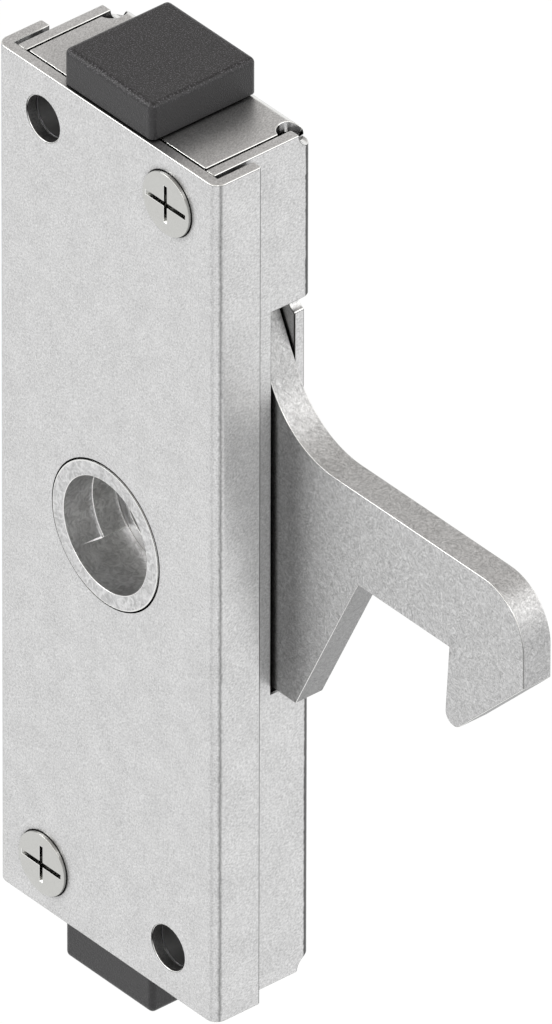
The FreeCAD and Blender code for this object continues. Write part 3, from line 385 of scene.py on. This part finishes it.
def edge_material(name, base, sides, seams=1.0):
    """Broken edge of a plated part: a thin, bright line wherever two faces meet, whose lighter colour is
    burnished wear and painted highlight.

    Edges that look up keep the full painted highlight; upright ones get painted shade, down to the share
    given for sides, and those that look forward into a seam, painted shade down to the share given for
    seams.
    """
    material, tree, shader = start_material(name)
    # The wear comes and goes over about 1.5 mm.
    wear = add(tree, "MapRange", {"Value": grain(tree, 1.5 * MM), "From Min": 0.3, "From Max": 0.7,
                                  "To Min": 0.9})
    forward = facing(tree, "Y", -0.35, -0.15, seams, 1.0)
    open_front = add(tree, "Math", {0: forward, 1: closeness(tree, 0.9 * MM, 0.5, 0.9)},
                     operation="MAXIMUM")
    # Painted shade on upright edges.
    upright = facing(tree, "Z", 0.1, 0.4, sides, 1.0, both_ways=True)
    # Painted shade in seams and gaps; the wear is real.
    base = shaded(tree, base, closeness(tree, 0.3 * MM, 0.1, 0.5), open_front.outputs[0],
                  wear.outputs[0], upright)
    fill(tree, shader, {"Base Color": base, "Metallic": 1.0, "Roughness": 0.2})
    return material


def turned_metal(name, base, roughness, reach=6 * MM, darkest=0.0):
    """Turned or ground metal: even and satin, with a faint fine grain and painted shade in its depths."""
    material, tree, shader = start_material(name)
    # Turning marks are about 0.1 mm apart and would not show, so the grain is drawn at 0.4 mm.
    fine = add(tree, "MapRange", {"Value": grain(tree, 0.4 * MM), "To Min": 0.9})
    base = shaded(tree, base, closeness(tree, reach, darkest, 0.7), fine.outputs[0])
    fill(tree, shader, {"Base Color": base, "Metallic": 1.0, "Roughness": roughness})
    return material


def plastic_material(colours):
    """Moulded polyamide: dark grey, with a sandy tool texture that glints a little from its relief, and
    painted glints on upward grains.
    """
    material, tree, shader = start_material("moulded_polyamide")
    # The tool's grains are about 0.1 mm and would not show, so they are drawn at 0.2 mm. The highest of
    # them get painted glints where they look up.
    sand = grain(tree, 0.2 * MM, detail=0.0)
    highest = add(tree, "MapRange", {"Value": sand, "From Min": 0.57, "From Max": 0.79})
    painted_glints = add(tree, "Math", {0: highest.outputs[0], 1: facing(tree, "Z", 0.1, 0.7, 0.2, 1.0)},
                 operation="MULTIPLY")
    light = [min(1, 8 * c) for c in colours.plastic]
    dark = [0.68 * c for c in colours.plastic]
    base = add(tree, "Mix", {"Factor": painted_glints.outputs[0], "A": (*dark, 1), "B": (*light, 1)},
               data_type="RGBA").outputs["Result"]
    # Painted shade in hollows.
    base = shaded(tree, base, closeness(tree, 3 * MM, 0.0, 0.6))
    relief = add(tree, "Bump", {"Height": sand, "Strength": 1.0, "Distance": 0.07 * MM})
    fill(tree, shader, {"Base Color": base, "Roughness": 0.36, "Normal": relief.outputs[0]})
    return material


def rubber_material(colours):
    """Moulded rubber: matt black, with specks of dust about 0.8 mm across, and painted shade in its
    hollows.
    """
    material, tree, shader = start_material("moulded_rubber")
    dark = [0.7 * c for c in colours.rubber]
    base = tones(tree, grain(tree, 0.8 * MM), 0.3, 0.7, dark, colours.rubber)
    base = shaded(tree, base, closeness(tree, 3 * MM, 0.0, 0.6))
    fill(tree, shader, {"Base Color": base, "Roughness": 0.8})
    return material


def dress(nodes, material):
    """Gives CAD nodes their material."""
    for name in nodes:
        for slot in frame["nodes"][name].material_slots:
            slot.material = material


def new_piece(name, mesh, materials, node):
    """An object for a mesh, which stands for a CAD node and moves with its body."""
    for material in materials:
        mesh.materials.append(material)
    piece = bpy.data.objects.new(name, mesh)
    bpy.context.scene.collection.objects.link(piece)
    normals = piece.modifiers.new("normals", "WEIGHTED_NORMAL")
    normals.weight = 100
    normals.keep_sharp = True
    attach(piece, frame["nodes"][node]["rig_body"])
    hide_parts(node)
    return piece


def break_edges(mesh_tool, edges, width):
    """Rounds edges to that width. The new faces get the second material."""
    for face in mesh_tool.faces:
        face.smooth = True
    bmesh.ops.bevel(mesh_tool, geom=edges, offset=width, offset_type="OFFSET",
                    segments=EDGE_SEGMENTS, profile=0.5, affect="EDGES", clamp_overlap=False,
                    loop_slide=False, miter_outer="ARC", spread=CORNER_SPREAD, material=1)
    for face in mesh_tool.faces:
        face.smooth = True


def edged_copy(node, width, materials, plain_radius=0):
    """A copy of a CAD node with every outer edge broken, except close to the hub's axis."""
    source = frame["nodes"][node]
    mesh_tool = bmesh.new()
    mesh_tool.from_mesh(source.data)
    bmesh.ops.remove_doubles(mesh_tool, verts=mesh_tool.verts, dist=SAME_POINT)
    bmesh.ops.dissolve_limit(mesh_tool, angle_limit=FLAT_TURN, verts=mesh_tool.verts,
                             edges=mesh_tool.edges, use_dissolve_boundaries=False)
    mesh_tool.normal_update()
    for face in mesh_tool.faces:
        face.material_index = 0
    outer = []
    for edge in mesh_tool.edges:
        turn = edge.calc_face_angle_signed(0)
        near = all(math.hypot(v.co.x, v.co.z) < plain_radius for v in edge.verts)
        if abs(turn) > EDGE_TURN:
            if turn > 0 and not near:
                outer.append(edge)
            else:
                edge.smooth = False
    break_edges(mesh_tool, outer, width)
    mesh = bpy.data.meshes.new(node + "_edged")
    mesh_tool.to_mesh(mesh)
    mesh_tool.free()
    return new_piece(node + "_edged", mesh, materials, node)


def ring(mesh_tool, centre, radius, depth):
    """A circle of vertices round a line that runs along Y."""
    turns = [2 * math.pi * i / SCREW_SIDES for i in range(SCREW_SIDES)]
    return [mesh_tool.verts.new((centre[0] + radius * math.cos(turn), depth,
                                 centre[2] + radius * math.sin(turn))) for turn in turns]


def cross(mesh_tool, centre, sizes, shrink, depth):
    """The cross recess's outline at one depth, drawn in at its four ends."""
    long_half = sizes.long_recess / 2 - shrink
    short_half = sizes.short_recess / 2 - shrink
    across_long = sizes.long_recess_width / 2
    across_short = sizes.short_recess_width / 2
    quarter = ((long_half, across_long), (across_short, across_long), (across_short, short_half))
    corners = []
    for right, up in ((1, 1), (-1, 1), (-1, -1), (1, -1)):
        turned = quarter if right * up > 0 else quarter[::-1]
        corners += [(right * x, up * z) for x, z in turned]
    return [mesh_tool.verts.new((centre[0] + x, depth, centre[2] + z)) for x, z in corners]


def join_loops(mesh_tool, first, second):
    """A band of four-sided faces between two loops."""
    count = len(first)
    for i in range(count):
        after = (i + 1) % count
        mesh_tool.faces.new((first[i], first[after], second[after], second[i]))


def loop_edges(mesh_tool, loop):
    """The edges round a loop of vertices, made where they are missing."""
    pairs = zip(loop, loop[1:] + loop[:1])
    return [mesh_tool.edges.get(pair) or mesh_tool.edges.new(pair) for pair in pairs]


def make_cover_screw(node, sizes, materials):
    """A countersunk screw: rounded rim, cross recess with rising ends, cone and shank."""
    low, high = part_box(node)
    centre = (low + high) / 2
    head = (high[0] - low[0]) / 2
    front, tip = low[1], high[1]
    shank = sizes.thread_radius
    tip_chamfer = shank / 4
    mesh_tool = bmesh.new()
    top = ring(mesh_tool, centre, head - sizes.head_rim, front)
    outline = cross(mesh_tool, centre, sizes, 0, front)
    floor = cross(mesh_tool, centre, sizes, sizes.recess_ramp, front + sizes.recess_depth)
    bmesh.ops.triangle_fill(mesh_tool, use_beauty=True,
                            edges=loop_edges(mesh_tool, top) + loop_edges(mesh_tool, outline))
    join_loops(mesh_tool, outline, floor)
    mesh_tool.faces.new(floor)
    rim = [(head - sizes.head_rim * (1 - math.sin(turn)), front + sizes.head_rim * (1 - math.cos(turn)))
           for turn in map(math.radians, (30, 60, 90))]
    # The cover's front face is at depth 0, where the 45 degree cone starts.
    cone = [(head, 0.0), (shank, head - shank), (shank, tip - tip_chamfer), (shank - tip_chamfer, tip)]
    last = top
    for radius, depth in rim + cone:
        loop = ring(mesh_tool, centre, radius, depth)
        join_loops(mesh_tool, last, loop)
        last = loop
    mesh_tool.faces.new(last)
    bmesh.ops.recalc_face_normals(mesh_tool, faces=mesh_tool.faces)
    break_edges(mesh_tool, loop_edges(mesh_tool, outline), sizes.recess_edge)
    for edge in mesh_tool.edges:
        if edge.calc_face_angle(0) > SCREW_EDGE_TURN:
            edge.smooth = False
    mesh = bpy.data.meshes.new(node + "_cut")
    mesh_tool.to_mesh(mesh)
    mesh_tool.free()
    return new_piece(node + "_cut", mesh, materials, node)


class LATCH_OT_case(bpy.types.Operator):
    """Breaks the edges of the folded sheets and gives them their zinc"""
    bl_idname = "latch.case"
    bl_label = "Case and cover"

    def execute(self, context):
        sizes, colours = context.scene.latch_sizes, context.scene.latch_colours
        zinc = zinc_sheet_material(colours)
        edge_wear_and_painted_light = edge_material("sheet_edge", colours.edge, sides=0.05, seams=0.0)
        for node in SHEET_PIECES:
            sheet = edged_copy(node, sizes.sheet_edge, (zinc, edge_wear_and_painted_light), sizes.plain_radius)
            # The bends along the top and bottom of the back get the lighter edge colour where they start,
            # as a painted highlight.
            for face in sheet.data.polygons:
                if 0.15 < face.normal.y < 0.5 and abs(face.normal.z) > 0.4:
                    face.material_index = 1
        return {"FINISHED"}


class LATCH_OT_hook(bpy.types.Operator):
    """Breaks the hook's edges and gives it its galvanising"""
    bl_idname = "latch.hook"
    bl_label = "Hook"

    def execute(self, context):
        colours = context.scene.latch_colours
        materials = (hook_material(colours), edge_material("hook_edge", colours.edge, sides=0.3))
        edged_copy("hook", context.scene.latch_sizes.hook_edge, materials)
        return {"FINISHED"}


class LATCH_OT_hub(bpy.types.Operator):
    """Breaks the edges of hub and disc and gives them their plating"""
    bl_idname = "latch.hub"
    bl_label = "Hub and disc"

    def execute(self, context):
        colours = context.scene.latch_colours
        width = context.scene.latch_sizes.hub_edge
        edge_burnish_and_painted_light = edge_material("hub_edge", colours.edge, sides=1.0)
        plated = hub_material("zinc_plated_turning", colours.hub_dark, colours.hub_light, gap_tone=0.0)
        hub = edged_copy("drive_hub", width, (plated, edge_burnish_and_painted_light))
        # The hub's chamfers, which look neither forwards nor sideways, get the lighter edge colour too,
        # as wear and painted highlight.
        for face in hub.data.polygons:
            if 0.3 < abs(face.normal.y) < 0.95:
                face.material_index = 1
        # Painted light: the disc gets plain white and less painted shade than the hub, standing in for
        # the light its place deep in the bore lacks.
        bright = hub_material("disc_plating_with_painted_light", colours.disc, colours.disc, gap_tone=0.7)
        edged_copy("drive_disc", width, (bright, edge_burnish_and_painted_light))
        return {"FINISHED"}


class LATCH_OT_cover_screws(bpy.types.Operator):
    """Makes the two countersunk screws of the cover and plates the other fasteners"""
    bl_idname = "latch.cover_screws"
    bl_label = "Cover screws"

    def execute(self, context):
        colours = context.scene.latch_colours
        plated = turned_metal("bright_zinc_screw", colours.screw, 0.2, reach=2.5 * MM)
        materials = (plated, edge_material("screw_edge", colours.edge, sides=1.0))
        for node in COVER_SCREWS:
            make_cover_screw(node, context.scene.latch_sizes, materials)
        dress(ZINC_FASTENERS, plated)
        return {"FINISHED"}


class LATCH_OT_end_blocks(bpy.types.Operator):
    """Gives the end blocks their moulded plastic"""
    bl_idname = "latch.end_blocks"
    bl_label = "End blocks"

    def execute(self, context):
        dress(END_BLOCKS, plastic_material(context.scene.latch_colours))
        return {"FINISHED"}


class LATCH_OT_inner_parts(bpy.types.Operator):
    """Finishes the pieces inside the case and breaks the edges of the mounting sleeves"""
    bl_idname = "latch.inner_parts"
    bl_label = "Inner parts"

    def execute(self, context):
        colours = context.scene.latch_colours
        dress(TURNED_PIECES, turned_metal("turned_steel", colours.steel, 0.35))
        # Painted light: the blacked steel gets a light grey, standing in for the light its deep bores
        # lack.
        blacked = turned_metal("blacked_steel", colours.blacked, 0.4, darkest=-3.0)
        dress(FRONT_SPACERS, blacked)
        edge_wear_and_painted_light = edge_material("sleeve_edge", colours.sleeve_edge, sides=1.0)
        for node in MOUNTING_SLEEVES:
            edged_copy(node, context.scene.latch_sizes.sleeve_edge, (blacked, edge_wear_and_painted_light))
        dress(SPRING_PIECES, turned_metal("oiled_spring_steel", colours.spring, 0.3))
        dress(("rear_bush",), turned_metal("turned_brass", colours.brass, 0.3))
        dress(("closed_stop_buffer",), rubber_material(colours))
        return {"FINISHED"}


class LATCH_OT_stage(bpy.types.Operator):
    """Sets up the floor, the light and the camera"""
    bl_idname = "latch.stage"
    bl_label = "Stage"

    def execute(self, context):
        scene = context.scene
        make_floor(scene.latch_stage, scene.latch_colours)
        make_world()
        make_lamps()
        make_camera(scene.latch_stage)
        scene.view_settings.view_transform = "Standard"
        return {"FINISHED"}


def rays_from(tree, *sources):
    """1 for rays that come from one of these sources, 0 for all others."""
    path = add(tree, "LightPath")
    seen = path.outputs[sources[0]]
    for source in sources[1:]:
        seen = add(tree, "Math", {0: seen, 1: path.outputs[source]}, operation="MAXIMUM").outputs[0]
    return seen


def make_floor(stage, colours):
    """A plain white floor, well below the latch, that metal shows as white too."""
    level = cad_box[0][2] - stage.floor_drop
    corners = [(x * FLOOR_REACH, y * FLOOR_REACH, level) for x, y in ((-1, -1), (1, -1), (1, 1), (-1, 1))]
    mesh = bpy.data.meshes.new("floor")
    mesh.from_pydata(corners, [], [(0, 1, 2, 3)])
    floor = bpy.data.objects.new("floor", mesh)
    bpy.context.scene.collection.objects.link(floor)
    material, tree, shader = start_material("studio_floor")
    fill(tree, shader, {"Base Color": (*colours.floor, 1), "Roughness": 0.9})
    white = add(tree, "Emission", {"Color": (1, 1, 1, 1), "Strength": WHITE_STRENGTH}).outputs[0]
    seen = rays_from(tree, "Is Camera Ray", "Is Glossy Ray", "Is Transmission Ray")
    share = add(tree, "Math", {0: seen, 1: WHITE_SHARE}, operation="MULTIPLY").outputs[0]
    both = add(tree, "MixShader", {0: share, 1: shader.outputs[0], 2: white})
    fill(tree, tree.nodes["Material Output"], {"Surface": both.outputs[0]})
    mesh.materials.append(material)


def make_world():
    """A white studio. Its ceiling is darker than its walls, and the camera sees plain white."""
    world = bpy.data.worlds.new("studio")
    bpy.context.scene.world = world
    world.use_nodes = True
    tree = world.node_tree
    direction = add(tree, "TexCoord").outputs["Generated"]
    height = add(tree, "SeparateXYZ", {0: direction}).outputs["Z"]
    ceiling = add(tree, "ValToRGB", {"Fac": height})
    walls, top = ceiling.color_ramp.elements
    walls.position, walls.color = WALLS_END, (1, 1, 1, 1)
    top.position, top.color = CEILING_START, CEILING_GREY
    seen = rays_from(tree, "Is Camera Ray", "Is Transmission Ray")
    shown = add(tree, "Mix", {"Factor": seen, "A": ceiling.outputs["Color"], "B": (1, 1, 1, 1)},
                data_type="RGBA").outputs["Result"]
    fill(tree, tree.nodes["Background"], {"Color": shown, "Strength": 1.0})


def make_lamps():
    """Soft boxes: one over the front, two that draw the light lines, and a weak one into the bore."""
    for name, (towards, width, height, power) in SOFT_BOXES.items():
        lamp = bpy.data.lights.new(name, "AREA")
        lamp.shape = "RECTANGLE"
        lamp.size = width
        lamp.size_y = height
        lamp.energy = power
        box = bpy.data.objects.new(name, lamp)
        bpy.context.scene.collection.objects.link(box)
        direction = Vector(towards).normalized()
        box.location = direction * BOX_DISTANCE
        box.rotation_mode = "QUATERNION"
        box.rotation_quaternion = direction.to_track_quat("Z", "Y")
        box.visible_camera = False


def make_camera(stage):
    """The photograph's viewpoint: a long lens from the front right and above."""
    az, el, roll = stage.azimuth, stage.elevation, stage.roll
    back = Vector((math.sin(az) * math.cos(el), -math.cos(az) * math.cos(el), math.sin(el)))
    level = Vector((math.cos(az), math.sin(az), 0))
    upright = back.cross(level)
    right = level * math.cos(roll) + upright * math.sin(roll)
    up = upright * math.cos(roll) - level * math.sin(roll)
    data = bpy.data.cameras.new("camera")
    data.lens = stage.lens
    data.sensor_fit = "VERTICAL"
    data.sensor_height = stage.sensor
    data.sensor_width = 36
    data.clip_start = 1
    data.clip_end = 20
    camera = bpy.data.objects.new("camera", data)
    bpy.context.scene.collection.objects.link(camera)
    view = Matrix((right, up, back)).transposed().to_4x4()
    view.translation = right * stage.aim_right + up * stage.aim_up + back * stage.distance
    camera.matrix_world = view
    bpy.context.scene.camera = camera


class LATCH_PT_panel(bpy.types.Panel):
    """Lists the steps that dress the latch"""
    bl_idname = "LATCH_PT_panel"
    bl_label = "Hook latch"
    bl_space_type = "VIEW_3D"
    bl_region_type = "UI"
    bl_category = "Hook latch"

    def draw(self, context):
        for step in STEPS:
            self.layout.operator(step.bl_idname)
        for group in (context.scene.latch_sizes, context.scene.latch_colours, context.scene.latch_stage):
            box = self.layout.box()
            for name in group.__annotations__:
                box.prop(group, name)


GROUPS = {"latch_sizes": LatchSizes, "latch_colours": LatchColours, "latch_stage": LatchStage}
STEPS = (LATCH_OT_case, LATCH_OT_hook, LATCH_OT_hub, LATCH_OT_cover_screws, LATCH_OT_end_blocks,
         LATCH_OT_inner_parts, LATCH_OT_stage)


def register():
    for name, group in GROUPS.items():
        bpy.utils.register_class(group)
        setattr(bpy.types.Scene, name, bpy.props.PointerProperty(type=group))
    for step in STEPS:
        bpy.utils.register_class(step)
    bpy.utils.register_class(LATCH_PT_panel)


def unregister():
    bpy.utils.unregister_class(LATCH_PT_panel)
    for step in reversed(STEPS):
        bpy.utils.unregister_class(step)
    for name, group in GROUPS.items():
        delattr(bpy.types.Scene, name)
        bpy.utils.unregister_class(group)


def main():
    register()
    bpy.ops.latch.case()
    bpy.ops.latch.hook()
    bpy.ops.latch.hub()
    bpy.ops.latch.cover_screws()
    bpy.ops.latch.end_blocks()
    bpy.ops.latch.inner_parts()
    bpy.ops.latch.stage()


if __name__ == "__main__":
    main()
